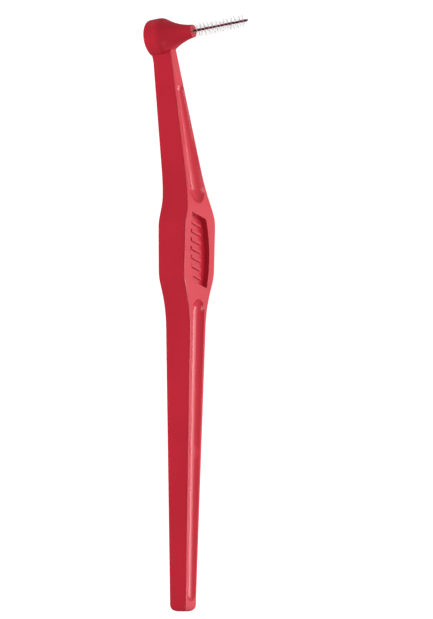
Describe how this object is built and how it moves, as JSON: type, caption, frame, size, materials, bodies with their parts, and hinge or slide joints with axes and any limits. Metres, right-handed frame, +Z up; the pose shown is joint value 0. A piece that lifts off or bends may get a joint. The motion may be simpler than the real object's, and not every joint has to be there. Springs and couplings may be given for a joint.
{
  "type": "interdental brush",
  "caption": "Interdental brush with a grooved tapering handle, a ribbed thumb grip, a bent neck and a twisted wire brush set almost square to it.",
  "frame": {"origin": "middle of the grip's lower flat side, on the surface that the brush is laid down on", "axes": "+X along the handle towards the head, -Y the way the brush points, +Z up, across the flat of the handle"},
  "size_m": [0.1517, 0.0287, 0.0154],
  "materials": {
    "handle_plastic": "moulded polypropylene, semi-gloss red",
    "wire_coating": "steel wire with a dark red plastic coat, satin",
    "bristle_nylon": "clear white nylon filament"
  },
  "bodies": {
    "root": {"handle": "handle_plastic", "brush_wire": "wire_coating", "bristle_fan_01": "bristle_nylon", "bristle_fan_02": "bristle_nylon", "bristle_fan_03": "bristle_nylon", "bristle_fan_04": "bristle_nylon", "bristle_fan_05": "bristle_nylon", "bristle_fan_06": "bristle_nylon", "bristle_fan_07": "bristle_nylon", "bristle_fan_08": "bristle_nylon", "bristle_fan_09": "bristle_nylon", "bristle_fan_10": "bristle_nylon", "bristle_fan_11": "bristle_nylon", "bristle_fan_12": "bristle_nylon", "bristle_fan_13": "bristle_nylon", "bristle_fan_14": "bristle_nylon"}
  },
  "joints": []
}
